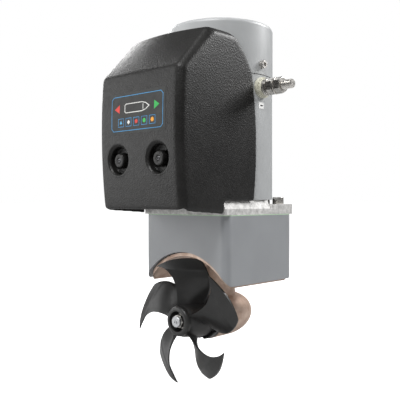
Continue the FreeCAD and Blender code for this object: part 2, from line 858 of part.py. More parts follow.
def bevel_teeth(teeth, mate, tooth_ahead):
    """A star-shaped cone of straight bevel teeth about Z, with its apex at the origin.

    The flanks are involutes on the back cone, drawn towards the apex. A tooth points along +Y
    when tooth_ahead is true, and a gap does when it is false.
    """
    cone = atan(teeth / mate)
    pitch_radius = gear_module * teeth / 2
    back_radius = pitch_radius / cos(cone)
    base_radius = back_radius * cos(radians(pressure_angle))
    pitch_half = (pi * gear_module / 2 - backlash) / 2 / back_radius
    pitch_involute = involute(radians(pressure_angle))
    flank = []
    for step in (-dedendum, -dedendum * 0.45, 0, addendum * 0.55, addendum):
        reach = max(back_radius + step, base_radius)
        half = pitch_half + pitch_involute - involute(acos(base_radius / reach))
        lift = cone + atan(step / cone_distance)
        flank.append((tan(lift), half / cos(cone)))
    start = pi / 2 if tooth_ahead else pi / 2 + pi / teeth
    loop = []
    for tooth in range(teeth):
        middle = start + 2 * pi * tooth / teeth
        loop += [(reach, middle - half) for reach, half in flank]
        loop += [(reach, middle + half) for reach, half in reversed(flank)]
    sections = []
    for height in (cone_distance * 0.2, cone_distance * 2):
        corners = [point(reach * height * cos(angle), reach * height * sin(angle), height)
                   for reach, angle in loop]
        sections.append(Part.makePolygon(corners + corners[:1]))
    return Part.makeLoft(sections, True, True)


def bevel_gear(teeth, mate, bore, rim, hub_radius, hub_length, tooth_ahead):
    """A bevel gear about Z: the toothed cone cut to its blank, with a hub behind."""
    cone = atan(teeth / mate)
    pitch = point(sin(cone), 0, cos(cone))
    back = point(-cos(cone), 0, sin(cone))
    inner = cone_distance - face_width
    small = inner / cone_distance

    def corner(rise, scale):
        place = (pitch * cone_distance + back * -rise) * scale
        return place.x, place.z

    root_small = corner(-dedendum, small)
    rim_back = corner(-dedendum - rim, 1)
    blank = turned([(bore, root_small[1]), root_small, corner(addendum, small), corner(addendum, 1),
                    corner(-dedendum, 1), rim_back, (hub_radius, rim_back[1]),
                    (hub_radius, rim_back[1] + hub_length), (bore, rim_back[1] + hub_length)], "z")
    return blank.common(bevel_teeth(teeth, mate, tooth_ahead))


def drive_pinion():
    return bevel_gear(pinion_teeth, gear_teeth, pinion_bore + seat_gap, pinion_rim,
                      pinion_hub_radius, pinion_hub_length, True)


def driven_gear():
    """The gear on the propeller shaft: made about Z, then laid along Y behind the pinion."""
    solid = bevel_gear(gear_teeth, pinion_teeth, propeller_shaft_radius + seat_gap, gear_rim,
                       gear_hub_radius, gear_hub_length, False)
    solid.rotate(point(0, 0, 0), point(1, 0, 0), -90)
    return around(solid, 180, "y")


# ---------------------------------------------------------------- rotor

def motor_shaft():
    low = jaw_high + 1
    journal = cap_journal_radius
    return turned([(0, low), (motor_shaft_radius, low), (motor_shaft_radius, shield_boss_top),
                   (armature_shaft_radius, shield_boss_top + 1), (armature_shaft_radius, commutator_high),
                   (journal, commutator_high + 2), (journal, cap_bearing_high - free_gap),
                   (0, cap_bearing_high - free_gap)], "z")


def armature_core():
    solid = upright(armature_radius, armature_low, armature_high)
    solid = solid.cut(upright(armature_shaft_radius + seat_gap, armature_low - 1, armature_high + 1))
    slot = block((armature_radius - slot_depth, -slot_width / 2, armature_low - 1),
                 (armature_radius + 1, slot_width / 2, armature_high + 1))
    for cutter in repeated(slot, armature_slots):
        solid = solid.cut(cutter)
    return solid


def armature_windings():
    """Copper: a rounded bundle of end turns above and below the core."""
    inner = armature_shaft_radius + seat_gap
    shoulder = end_turn_length * 0.35
    bundles = []
    for base, way in ((armature_low, -1), (armature_high, 1)):
        end = base + way * end_turn_length
        bundles.append(turned([(inner, base), (end_turn_radius, base),
                               (end_turn_radius, end - way * shoulder),
                               (end_turn_radius - shoulder, end), (inner, end)], "z"))
    return joined(bundles)


def commutator():
    return upright(commutator_radius, commutator_low, commutator_high).cut(
        upright(armature_shaft_radius + seat_gap, commutator_low - 1, commutator_high + 1))


def coupling_hub(low, bore, first_jaw, jaw_side):
    hub = upright(coupling_radius, low, low + coupling_hub_length)
    jaws = [sector(jaw_inner, coupling_radius, jaw_low + jaw_side[0], jaw_high + jaw_side[1],
                   first_jaw + 360 * i / jaw_count, jaw_arc) for i in range(jaw_count)]
    solid = hub.fuse(jaws).cut(upright(bore, low - 1, low + coupling_hub_length + 1))
    return solid.removeSplitter()


def coupling_spider():
    solid = upright(jaw_inner - seat_gap, jaw_low, jaw_high)
    solid = solid.cut(upright(drive_shaft_radius + hub_air, jaw_low - 1, jaw_high + 1))
    lobe_arc = 180 / jaw_count - jaw_arc - spider_slack
    lobes = [sector(drive_shaft_radius + hub_air, coupling_radius, jaw_low, jaw_high,
                    i * 180 / jaw_count, lobe_arc) for i in range(2 * jaw_count)]
    return solid.fuse(lobes).removeSplitter()


def drive_shaft():
    low = gear_pitch_radius * (1 - face_width / cone_distance) + free_gap
    top = jaw_low - 1
    return turned([(0, low), (pinion_bore, low), (pinion_bore, pinion_hub_top),
                   (drive_shaft_radius, pinion_hub_top), (drive_shaft_radius, top), (0, top)], "z")


# ---------------------------------------------------------------- propeller

def mixed(root_value, tip_value, reach):
    """A value that runs evenly from the hub's rear radius to the blade's tip."""
    share = (reach - hub_front_radius) / (propeller_radius - hub_front_radius)
    return root_value + (tip_value - root_value) * min(max(share, 0), 1)


def middle_angle(reach):
    """The blade's skewed middle line, in degrees about the shaft."""
    return blade_root_angle + blade_skew * mixed(0, 1, reach) ** 3


def edge_point(reach, side):
    """A point of the blade's outline, seen along the shaft, as (across, up)."""
    angle = radians(middle_angle(reach) + side * blade_half_chord)
    return reach * cos(angle), reach * sin(angle)


def blade_station(across, up):
    """Where the blade's mean face stands along the shaft: a helix whose pitch falls to the tip."""
    reach = min(hypot(across, up), propeller_radius)
    lead = degrees(atan2(up, across)) - middle_angle(reach)
    pitch = mixed(blade_root_pitch, blade_tip_pitch, reach)
    return mixed(blade_root_station, blade_tip_station, reach) - pitch * lead / 360


def chord_end(up, side):
    """How far across the blade's edge is at a height above the shaft."""
    reach = up
    while reach < propeller_radius and edge_point(reach, side)[1] < up:
        reach += 0.25
    return edge_point(min(reach, propeller_radius), side)[0]


def blade_section(up):
    """A lens-shaped section of the blade, square to its middle line."""
    overhang = 1.0
    left = chord_end(up, 1) - overhang
    right = chord_end(up, -1) + overhang
    centre = (left + right) / 2
    spine = [point(x, blade_station(x, up), up) for x in (left, centre, right)]
    chord = spine[2] - spine[0]
    normal = point(-chord.y, chord.x, 0).normalize()
    thickness = mixed(blade_root_thickness, blade_tip_thickness, up)
    halves = (blade_edge_thickness / 2, thickness / 2, blade_edge_thickness / 2)
    front = [place + normal * half for place, half in zip(spine, halves)]
    rear = [place - normal * half for place, half in zip(spine, halves)]
    return Part.Wire([Part.Arc(*front).toShape(), Part.makeLine(front[2], rear[2]),
                      Part.Arc(*reversed(rear)).toShape(), Part.makeLine(rear[0], front[0])])


def blade_outline():
    """The blade's outline seen along the shaft, as a prism: two skewed edges and the tip's arc."""
    start = hub_front_radius * 0.75
    reaches = [start + (propeller_radius - start) * share / 6 for share in range(7)]
    rows = []
    for side in (1, -1):
        rows.append([point(*edge_point(reach, side), 0) for reach in reaches])
    curves = []
    for row in rows:
        curve = Part.BSplineCurve()
        curve.interpolate(row)
        curves.append(curve.toShape())
    tip_angle = radians(middle_angle(propeller_radius))
    crest = point(propeller_radius * cos(tip_angle), propeller_radius * sin(tip_angle), 0)
    tip = Part.Arc(rows[0][-1], crest, rows[1][-1]).toShape()
    root = Part.makeLine(rows[1][0], rows[0][0])
    face = Part.Face(Part.Wire([curves[0], tip, curves[1], root]))
    prism = face.extrude(point(0, 0, -hub_front * 2))
    corner = rows[1][-1]
    edges = [edge for edge in prism.Edges
             if abs(edge.BoundBox.XMin - corner.x) + abs(edge.BoundBox.YMin - corner.y) < 0.01
             and edge.BoundBox.ZLength > 1]
    prism = prism.makeFillet(blade_tip_round, edges)
    prism.rotate(point(0, 0, 0), point(1, 0, 0), 90)
    return prism


def propeller_blade():
    heights = [hub_front_radius * 0.75 + (propeller_radius + 0.5 - hub_front_radius * 0.75) * share
               for share in (0, 0.2, 0.38, 0.53, 0.65, 0.74, 0.81, 0.9, 1)]
    slab = Part.makeLoft([blade_section(up) for up in heights], True, False)
    return slab.common(blade_outline())


def propeller():
    recess_end = recess_floor
    hub = turned([(propeller_shaft_radius + seat_gap, hub_rear), (hub_rear_radius, hub_rear),
                  (hub_rear_radius * 0.98, hub_rear - 8), (hub_front_radius + 1.5, hub_front + 9),
                  (hub_front_radius, hub_front + 6), (hub_front_radius, hub_front),
                  (hub_recess_radius, hub_front), (hub_recess_radius, recess_end),
                  (propeller_shaft_radius + seat_gap, recess_end)], "y")
    lip = [edge for edge in hub.Edges
           if abs(edge.BoundBox.YMin - hub_front) < 0.01 and edge.BoundBox.YLength < 0.01
           and edge.BoundBox.XLength > 2 * hub_front_radius - 1]
    hub = hub.makeFillet(hub_rounding, lip)
    solid = hub.fuse(repeated(propeller_blade(), blade_count, 0, "y")).removeSplitter()
    slot_end = drive_pin_station - drive_pin_radius - seat_gap
    half_length = drive_pin_length / 2 + seat_gap
    half_width = drive_pin_radius + seat_gap
    slot = block((-half_length, slot_end, -half_width), (half_length, hub_rear + 1, half_width))
    return solid.cut(slot)


def drive_pin():
    half = drive_pin_length / 2
    return bar(drive_pin_radius, (-half, drive_pin_station, 0), (half, drive_pin_station, 0))


def propeller_shaft():
    thread_end = propeller_nut_front + 0.5
    step = gear_hub_rear
    shaft = turned([(0, thread_end), (propeller_thread_radius, thread_end),
                    (propeller_thread_radius, recess_floor + 2), (propeller_shaft_radius, recess_floor + 3),
                    (propeller_shaft_radius, step), (nose_journal_radius, step),
                    (nose_journal_radius, nose_bearing_rear), (0, nose_bearing_rear)], "y")
    half = drive_pin_length / 2
    hole = bar(drive_pin_radius + seat_gap, (-half, drive_pin_station, 0), (half, drive_pin_station, 0))
    return shaft.cut(hole)


def propeller_washer():
    disc = along(propeller_washer_radius, propeller_washer_front, recess_floor)
    return disc.cut(along(propeller_thread_radius + seat_gap, propeller_washer_front - 1, recess_floor + 1))


def propeller_nut():
    return hex_nut(propeller_nut_flats, propeller_thread_radius + seat_gap,
                   (0, propeller_washer_front, 0), (0, propeller_nut_front, 0))


def shaft_anode():
    """The sacrificial anode: a small disc with a socket screw at its centre."""
    disc = along(anode_radius, anode_front, propeller_nut_front)
    rim = [edge for edge in disc.Edges if edge.BoundBox.YMax < anode_front + 0.01]
    disc = disc.makeChamfer(anode_height * 0.25, rim)
    screw = along(anode_screw_radius, anode_front - 0.8, anode_front + 1)
    recess = hexagon(anode_screw_radius, (0, anode_front - 1, 0), (0, anode_front, 0))
    return disc.fuse(screw).cut(recess)


# ---------------------------------------------------------------- moulded cover

def bow_centre():
    """The centre, along Y, of the arc that bows the cover's front."""
    return cover_front + cover_bow_radius


def front_station(height, inset=0.0):
    """Where the bowed front stands at a height."""
    radius = cover_bow_radius - inset
    return bow_centre() - sqrt(radius ** 2 - (height - cover_bow_height) ** 2)


def rear_curve():
    """The side's rear outline: two arcs, from the flat top down to the notch."""
    top = point(0, cover_top_rear, cover_top)
    knee = point(0, cover_rear - (cover_rear - cover_top_rear) * 0.18,
                 cover_top - (cover_top - cover_rear_height) * 0.36)
    bend = point(0, cover_rear - (cover_rear - cover_top_rear) * 0.55,
                 cover_top - (cover_top - cover_rear_height) * 0.14)
    waist = point(0, cover_rear, cover_rear_height)
    foot = point(0, cover_rear - 4.5, cover_notch_roof)
    return [Part.Arc(top, bend, knee).toShape(), Part.Arc(knee, waist, foot).toShape()], top, foot


def slope_front(inset):
    """The slope's ends along Y and Z: its straight shoulder, and its crowned edge at the top."""
    rise = cover_top - cover_shoulder
    slope = atan2(rise, cover_top_front - front_station(cover_shoulder))
    shoulder = (front_station(cover_shoulder) + inset, cover_shoulder - inset * tan(pi / 4 - slope / 2))
    return shoulder, (cover_top_front + inset * tan(slope / 2), cover_top - inset)


def slope_form(inset):
    """What lies behind the slope: ruled from the straight shoulder up to the crowned top edge."""
    (shoulder_front, shoulder), (top_front, top) = slope_front(inset)
    half_width = cover_half_width - inset
    ends = top_front + cover_crown
    low = [point(-half_width, shoulder_front, shoulder), point(half_width, shoulder_front, shoulder),
           point(half_width, 0, shoulder), point(-half_width, 0, shoulder)]
    high = [point(-half_width, ends, top), point(half_width, ends, top),
            point(half_width, 0, top), point(-half_width, 0, top)]
    crest = Part.Arc(high[0], point(0, top_front, top), high[1]).toShape()
    upper = Part.Wire([crest] + [Part.makeLine(high[i], high[(i + 1) % 4]) for i in (1, 2, 3)])
    return Part.makeLoft([Part.makePolygon(low + low[:1]), upper], True, True)


def cover_form(inset):
    """The cover's outer form, or with an inset the hollow that leaves that wall."""
    reach = inset * 12
    top = cover_top - inset
    foot_height = cover_front_foot - reach
    foot = point(0, front_station(foot_height, inset), foot_height)
    middle = point(0, front_station(cover_bow_height, inset), cover_bow_height)
    high = point(0, front_station(top, inset), top)
    outline = [Part.Arc(foot, middle, high).toShape()]
    if inset:
        rear_top = point(0, 0, top)
        rear_foot = point(0, 0, cover_rear_foot - reach)
        outline += [Part.makeLine(high, rear_top), Part.makeLine(rear_top, rear_foot),
                    Part.makeLine(rear_foot, foot)]
    else:
        arcs, rear_top, notch_rear = rear_curve()
        notch_front = point(0, cover_notch_front, cover_notch_roof)
        rear_foot = point(0, cover_notch_front, cover_rear_foot)
        outline += [Part.makeLine(high, rear_top)] + arcs
        outline += [Part.makeLine(notch_rear, notch_front), Part.makeLine(notch_front, rear_foot),
                    Part.makeLine(rear_foot, foot)]
    side = Part.Face(Part.Wire(outline))
    half_width = cover_half_width - inset
    solid = side.extrude(point(2 * half_width, 0, 0))
    solid.translate(point(-half_width, 0, 0))
    shoulder = slope_front(inset)[0][1]
    below = block((-half_width, cover_front - 1, foot_height - 10), (half_width, 10, shoulder))
    return solid.common(below.fuse(slope_form(inset))).removeSplitter()


def bevelled(solid, inset):
    """Bevels the long edges of the sides: beside the front, the slope and the top."""
    half_width = cover_half_width - inset
    size = cover_bevel - inset * (2 - sqrt(2))
    edges = []
    for edge in solid.Edges:
        box = edge.BoundBox
        on_side = abs(abs(box.Center.x) - half_width) < 0.02 and box.XLength < 0.02
        beside_front = box.YMax < cover_front + 10 and box.ZLength > 50
        above_shoulder = box.ZMin > cover_shoulder - inset * 2 - 1 and box.YMax < cover_top_rear + cover_air
        if on_side and (beside_front or above_shoulder):
            edges.append(edge)
    return solid.makeChamfer(size, edges)


def bevelled_foot(solid):
    """Bevels the foot all round, except at the bracket."""
    floor = [face for face in solid.Faces if face.BoundBox.ZMax < cover_front_foot + 0.01][0]
    edges = [edge for edge in floor.Edges if edge.BoundBox.YMin < cover_notch_front - 0.01]
    return solid.makeChamfer(cover_foot_depth, cover_foot_rise, edges)


def cover_shell():
    outer = bevelled_foot(bevelled(cover_form(0), 0))
    solid = outer.cut(bevelled(cover_form(cover_wall), cover_wall))
    solid = solid.cut(upright(cap_radius + cover_air, 0, motor_top + 10))
    for x in (-well_place, well_place):
        solid = add_well(solid, x)
    return solid


def add_well(solid, x):
    """A round well in the front with a deep channel across it and a screw boss in the channel."""
    front = front_station(well_height)
    floor = front + well_depth
    channel_floor = floor + channel_depth
    cup = along(well_radius + well_wall, front + 0.5, floor + cover_wall, x, well_height)
    reach = well_radius + well_wall
    deep = block((x - reach - 1, floor, well_height - channel_height / 2 - well_wall),
                 (x + reach + 1, channel_floor + cover_wall, well_height + channel_height / 2 + well_wall))
    deep = deep.common(along(reach, floor, channel_floor + cover_wall, x, well_height))
    solid = solid.fuse([cup, deep])
    mouth = along(well_radius, front - 5, floor, x, well_height)
    rim = Part.makeCone(well_radius + well_rim * 2, well_radius, well_rim * 2,
                        point(x, front - well_rim, well_height), point(0, 1, 0))
    channel = block((x - reach, floor - 1, well_height - channel_height / 2),
                    (x + reach, channel_floor, well_height + channel_height / 2))
    channel = channel.common(along(well_radius, front, channel_floor, x, well_height))
    solid = solid.cut(mouth).cut(rim).cut(channel)
    boss = along(cover_boss_radius, front + cover_boss_recess, post_front, x, well_height)
    bore = along(cover_screw_radius + seat_gap, front - 1, post_front + 1, x, well_height)
    seat = along(cover_screw_head + seat_gap, front - 1, front + cover_boss_recess + 2, x, well_height)
    return solid.fuse(boss).cut(bore).cut(seat).removeSplitter()


def cover_label():
    """A printed film on the bowed front."""
    outer = Part.makeCylinder(cover_bow_radius + film_thickness, 2 * label_half_width,
                              point(-label_half_width, bow_centre(), cover_bow_height), point(1, 0, 0))
    inner = Part.makeCylinder(cover_bow_radius, 2 * label_half_width,
                              point(-label_half_width, bow_centre(), cover_bow_height), point(1, 0, 0))
    window = block((-label_half_width, cover_front - 5, label_low), (label_half_width, cover_front + 10, label_high))
    return outer.common(window).cut(inner)


def cover_screws():
    screws = []
    for x in (-well_place, well_place):
        seat = front_station(well_height) + cover_boss_recess + 2
        screws.append(socket_screw(cover_screw_radius, post_front - seat + 12, cover_screw_head, 2,
                                   cover_screw_head, (x, seat, well_height), (0, 1, 0)))
    return joined(screws)


# ---------------------------------------------------------------- behind the cover

def relay_plate():
    """The steel plate on the motor's front, with curved feet and the two posts of the cover."""
    plate = block((-relay_plate_half_width, plate_front, relay_plate_low),
                  (relay_plate_half_width, relay_plate_station, relay_plate_high))
    feet = []
    for x in (-relay_foot_width * 1.5, relay_foot_width * 0.5):
        for z in (relay_plate_low + relay_foot_inset, relay_plate_high - relay_foot_height - relay_foot_inset):
            feet.append(block((x, relay_plate_station, z),
                              (x + relay_foot_width, 0, z + relay_foot_height)))
    solid = plate.fuse(feet).cut(upright(motor_radius + seat_gap, 0, motor_top))
    for x in (-well_place, well_place):
        solid = solid.fuse(along(post_radius, post_front, plate_front, x, well_height))
        solid = solid.cut(along(cover_screw_radius + seat_gap, post_front - 1, plate_front - 8,
                                x, well_height))
    return solid.removeSplitter()


def contactor_can(x):
    solid = upright(contactor_radius, contactor_low, can_top, x, contactor_station)
    return solid.cut(upright(contactor_radius - can_wall, contactor_low + can_wall, can_top + 1,
                             x, contactor_station))


def contactor_coil(x):
    solid = upright(coil_radius, coil_low, coil_high, x, contactor_station)
    return solid.cut(upright(coil_bore, coil_low - 1, coil_high + 1, x, contactor_station))


def contactor_cap(x):
    """The moulded contactor head with its two power studs."""
    solid = upright(contactor_radius, can_top, contactor_top, x, contactor_station)
    solid = solid.cut(upright(contactor_radius - can_wall * 2, can_top - 1, contactor_top - can_wall * 3,
                              x, contactor_station))
    studs = [upright(stud_radius, contactor_top - can_wall * 3 - 1.5, stud_top, x, contactor_station + shift)
             for shift in (-stud_spacing / 2, stud_spacing / 2)]
    return solid.fuse(studs).removeSplitter()


def contactor_plunger(x):
    """The moving iron with its rod and contact disc, at rest on the can's floor."""
    stud_end = contactor_top - can_wall * 3 - 1.5
    disc_top = stud_end - contact_travel - free_gap
    disc_low = disc_top - contact_disc_thickness
    iron = upright(plunger_radius, coil_low, coil_low + plunger_length, x, contactor_station)
    rod = upright(plunger_rod_radius, coil_low, disc_low + 1, x, contactor_station)
    disc = upright(contact_disc_radius, disc_low, disc_top, x, contactor_station)
    return iron.fuse([rod, disc]).removeSplitter()


def contactor_clamp(x):
    """A steel band round the can with a foot on the relay plate."""
    inner = contactor_radius + seat_gap
    middle = (contactor_low + can_top) / 2
    low = middle - clamp_height / 2
    high = middle + clamp_height / 2
    band = upright(inner + clamp_thickness, low, high, x, contactor_station)
    foot = block((x - contactor_radius / 2, contactor_station, low), (x + contactor_radius / 2, plate_front, high))
    return band.fuse(foot).cut(upright(inner, low - 1, high + 1, x, contactor_station))


def front_terminal_seat(x):
    return -sqrt(cap_radius ** 2 - x ** 2)


def motor_terminal(x):
    """A stud out of the end cap towards a contactor."""
    inner = -sqrt((yoke_bore - brush_ring_wall) ** 2 - x ** 2)
    return along(stud_radius, contactor_station + stud_spacing / 2, inner, x, front_terminal_height)


def motor_terminal_insulator(x):
    seat = front_terminal_seat(x)
    ring = along(stud_radius * 2, seat - 6, seat + 4, x, front_terminal_height)
    ring = ring.cut(along(stud_radius + seat_gap, seat - 7, seat + 5, x, front_terminal_height))
    return ring.cut(upright(cap_radius + seat_gap, seam, motor_top))


def drop_busbar(x):
    """An angle of copper from a contactor's rear stud up to the motor's stud."""
    half = busbar_width / 2
    rear = front_terminal_seat(x) - 6
    station = contactor_station + stud_spacing / 2
    foot = block((x - half, station - half, contactor_top),
                 (x + half, rear, contactor_top + busbar_thickness))
    leg = block((x - half, rear - busbar_thickness, contactor_top),
                (x + half, rear, front_terminal_height + half))
    solid = foot.fuse(leg).removeSplitter()
    solid = solid.cut(upright(stud_radius + seat_gap, contactor_top - 1, contactor_top + 5, x, station))
    return solid.cut(along(stud_radius + seat_gap, rear - 5, rear + 1, x, front_terminal_height))


def supply_busbar():
    """The copper strip that joins the two contactors' front studs."""
    half = busbar_width / 2
    station = contactor_station - stud_spacing / 2
    ends = contactor_place + half
    solid = block((-ends, station - half, contactor_top), (ends, station + half * 0.9,
                  contactor_top + busbar_thickness))
    for x in (-contactor_place, contactor_place):
        solid = solid.cut(upright(stud_radius + seat_gap, contactor_top - 1, contactor_top + 5, x, station))
    return solid


def control_box():
    rear = plate_front
    return block((-control_box_half_width, rear - control_box_depth, control_box_low),
                 (control_box_half_width, rear, control_box_high))


# ---------------------------------------------------------------- the nodes

def build():
    sides = {"left": -contactor_place, "right": contactor_place}
    nodes = {
        "saddle_block": saddle_block(),
        "leg_gasket": leg_gasket(),
        "gear_leg": gear_leg(),
        "leg_bolts": leg_bolts(),
        "bracket_gasket": bracket_gasket(),
        "motor_bracket": motor_bracket(),
        "bracket_bolts": joined(bracket_bolts() + motor_bolts()),
        "motor_yoke": motor_yoke(),
        "drive_end_shield": drive_end_shield(),
        "end_cap": end_cap(),
        "cap_screws": cap_screws(),
        "field_magnets": field_magnets(),
        "brush_ring": brush_ring(),
        "carbon_brushes": joined(repeated(brush_body(), 4, 45)),
        "brush_springs": brush_springs(),
        "motor_bearing_lower": bearing(motor_shaft_radius + running_gap, motor_bearing_radius,
                                       motor_bearing_low, motor_bearing_top, "z"),
        "motor_bearing_upper": bearing(cap_journal_radius + running_gap, cap_bearing_radius,
                                       cap_bearing_low, cap_bearing_high, "z"),
        "terminal_insulator": terminal_insulator(),
        "terminal_stud": terminal_stud(),
        "terminal_washers": terminal_washers(),
        "terminal_nuts": joined([terminal_nut(2, 3), terminal_nut(4, 5)]),
        "polarity_label": polarity_label(),
        "shaft_bearing_upper": bearing(drive_shaft_radius + running_gap, leg_bearing_radius,
                                       leg_bearing_low, leg_bearing_high, "z"),
        "shaft_bearing_lower": turned([(drive_shaft_radius + running_gap, needle_low),
                                       (needle_radius, needle_low), (needle_radius, needle_high),
                                       (drive_shaft_radius + running_gap, needle_high)], "z"),
        "shaft_seal": shaft_seal(),
        "seal_carrier": seal_carrier(),
        "propeller_bearing_front": bearing(propeller_shaft_radius + running_gap, front_bearing_radius,
                                           front_bearing_front, front_bearing_rear, "y"),
        "propeller_bearing_nose": bearing(nose_journal_radius + running_gap, nose_bearing_radius,
                                          nose_bearing_front, nose_bearing_rear, "y"),
        "propeller_seal": turned([(propeller_shaft_radius + running_gap, carrier_front),
                                  (seal_radius, carrier_front), (seal_radius, seal_seat_end),
                                  (propeller_shaft_radius + running_gap, seal_seat_end)], "y"),
        "cover_shell": cover_shell(),
        "cover_label": cover_label(),
        "cover_screws": cover_screws(),
        "relay_plate": relay_plate(),
        "control_box": control_box(),
        "motor_shaft": motor_shaft(),
        "armature_core": armature_core(),
        "armature_windings": armature_windings(),
        "commutator": commutator(),
        "coupling_hub_upper": coupling_hub(jaw_high, motor_shaft_radius + seat_gap, first_jaw, (0, 1)),
        "coupling_spider": coupling_spider(),
        "coupling_hub_lower": coupling_hub(coupling_low, drive_shaft_radius + seat_gap, 3 * first_jaw, (-1, 0)),
        "drive_shaft": drive_shaft(),
        "drive_pinion": drive_pinion(),
        "driven_gear": driven_gear(),
        "propeller_shaft": propeller_shaft(),
        "propeller": propeller(),
        "drive_pin": drive_pin(),
        "propeller_washer": propeller_washer(),
        "propeller_nut": propeller_nut(),
        "shaft_anode": shaft_anode(),
    }
    for side, x in sides.items():
        nodes["contactor_plunger_" + side] = contactor_plunger(x)
    nodes["contactor_cans"] = joined([contactor_can(x) for x in sides.values()])
    nodes["contactor_coils"] = joined([contactor_coil(x) for x in sides.values()])
    nodes["contactor_caps"] = joined([contactor_cap(x) for x in sides.values()])
    nodes["contactor_clamps"] = joined([contactor_clamp(x) for x in sides.values()])
    nodes["motor_terminals"] = joined([motor_terminal(x) for x in sides.values()])
    nodes["motor_terminal_insulators"] = joined([motor_terminal_insulator(x) for x in sides.values()])
    nodes["busbars"] = joined([supply_busbar()] + [drop_busbar(x) for x in sides.values()])
    return nodes


os.makedirs("parts", exist_ok=True)
for name, shape in build().items():
    shape.exportStep("parts/" + name + ".step")
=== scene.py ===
import json
import math

import bmesh
import bpy
import numpy
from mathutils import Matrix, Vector
from mathutils.bvhtree import BVHTree


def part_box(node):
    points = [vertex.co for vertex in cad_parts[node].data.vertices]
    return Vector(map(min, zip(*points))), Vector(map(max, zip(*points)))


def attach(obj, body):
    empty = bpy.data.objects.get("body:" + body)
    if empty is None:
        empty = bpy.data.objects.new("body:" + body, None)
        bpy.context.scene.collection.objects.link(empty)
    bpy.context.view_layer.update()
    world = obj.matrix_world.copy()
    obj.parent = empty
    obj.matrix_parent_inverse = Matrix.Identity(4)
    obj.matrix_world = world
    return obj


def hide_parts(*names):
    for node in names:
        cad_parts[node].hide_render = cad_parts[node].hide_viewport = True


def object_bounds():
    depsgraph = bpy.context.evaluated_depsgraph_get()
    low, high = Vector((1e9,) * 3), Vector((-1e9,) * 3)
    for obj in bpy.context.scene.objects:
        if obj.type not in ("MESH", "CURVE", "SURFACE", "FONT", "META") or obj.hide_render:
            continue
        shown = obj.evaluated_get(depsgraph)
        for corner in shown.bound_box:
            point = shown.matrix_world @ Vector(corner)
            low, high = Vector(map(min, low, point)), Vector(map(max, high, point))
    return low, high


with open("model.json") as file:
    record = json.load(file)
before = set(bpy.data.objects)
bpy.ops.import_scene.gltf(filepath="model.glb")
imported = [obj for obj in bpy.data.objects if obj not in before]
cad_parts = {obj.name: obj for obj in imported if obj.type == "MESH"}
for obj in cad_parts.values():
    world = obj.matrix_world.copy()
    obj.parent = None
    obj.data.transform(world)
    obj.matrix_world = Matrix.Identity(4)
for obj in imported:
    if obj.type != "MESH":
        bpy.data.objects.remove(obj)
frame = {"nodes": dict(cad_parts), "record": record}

cad_box = [list(corner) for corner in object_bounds()]
nodes = frame["nodes"]

# Bow thruster. Metres, in the frame of the CAD model: the motor's axis is Z and the propeller's
# axis is Y, and they cross at the origin.

MM = 0.001


# ---------------------------------------------------------------- material helpers

class Shader:
    """A small builder for a Principled material in object coordinates."""

    def __init__(self, name, colour, roughness, metallic=0.0):
        self.material = bpy.data.materials.new(name)
        self.material.use_nodes = True
        self.tree = self.material.node_tree
        self.surface = self.tree.nodes["Principled BSDF"]
        self.surface.inputs["Base Color"].default_value = (*colour, 1)
        self.surface.inputs["Roughness"].default_value = roughness
        self.surface.inputs["Metallic"].default_value = metallic
        self.place = self.tree.nodes.new("ShaderNodeTexCoord").outputs["Object"]

    def link(self, source, target):
        self.tree.links.new(source, target)

    def noise(self, size, detail=3.0, roughness=0.5, stretch=None):
        """Noise whose features are about the given size, in metres."""
        node = self.tree.nodes.new("ShaderNodeTexNoise")
        node.inputs["Scale"].default_value = 1 / size
        node.inputs["Detail"].default_value = detail
        node.inputs["Roughness"].default_value = roughness
        self.link(self.stretched(stretch), node.inputs["Vector"])
        return node.outputs["Fac"]

    def cells(self, size, feature="F1", stretch=None):
        """Round cells of about the given size, in metres."""
        node = self.tree.nodes.new("ShaderNodeTexVoronoi")
        node.feature = feature
        node.inputs["Scale"].default_value = 1 / size
        self.link(self.stretched(stretch), node.inputs["Vector"])
        return node.outputs["Distance"]

    def stretched(self, stretch):
        if stretch is None:
            return self.place
        node = self.tree.nodes.new("ShaderNodeMapping")
        node.inputs["Scale"].default_value = stretch
        self.link(self.place, node.inputs["Vector"])
        return node.outputs["Vector"]

    def ramp(self, value, low, high, start, end):
        """Maps value from low..high onto start..end, clamped."""
        node = self.tree.nodes.new("ShaderNodeMapRange")
        node.inputs["From Min"].default_value = low
        node.inputs["From Max"].default_value = high
        node.inputs["To Min"].default_value = start
        node.inputs["To Max"].default_value = end
        self.link(value, node.inputs["Value"])
        return node.outputs["Result"]

    def tint(self, value, low_colour, high_colour):
        """Colours the surface between two colours by a value from 0 to 1."""
        node = self.tree.nodes.new("ShaderNodeMix")
        node.data_type = "RGBA"
        self.link(value, node.inputs["Factor"])
        node.inputs["A"].default_value = (*low_colour, 1)
        node.inputs["B"].default_value = (*high_colour, 1)
        self.link(node.outputs["Result"], self.surface.inputs["Base Color"])
        return node.outputs["Result"]

    def rough(self, value, low, high):
        self.link(self.ramp(value, 0.3, 0.7, low, high), self.surface.inputs["Roughness"])

    def bump(self, value, depth, strength=1.0):
        """Adds relief of the given depth, in metres, on top of what is there."""
        node = self.tree.nodes.new("ShaderNodeBump")
        node.inputs["Distance"].default_value = depth
        node.inputs["Strength"].default_value = strength
        self.link(value, node.inputs["Height"])
        normal = self.surface.inputs["Normal"]
        if normal.is_linked:
            self.link(normal.links[0].from_socket, node.inputs["Normal"])
        self.link(node.outputs["Normal"], normal)


def scaled(colour, factor):
    return tuple(min(channel * factor, 1.0) for channel in colour)


# ---------------------------------------------------------------- materials

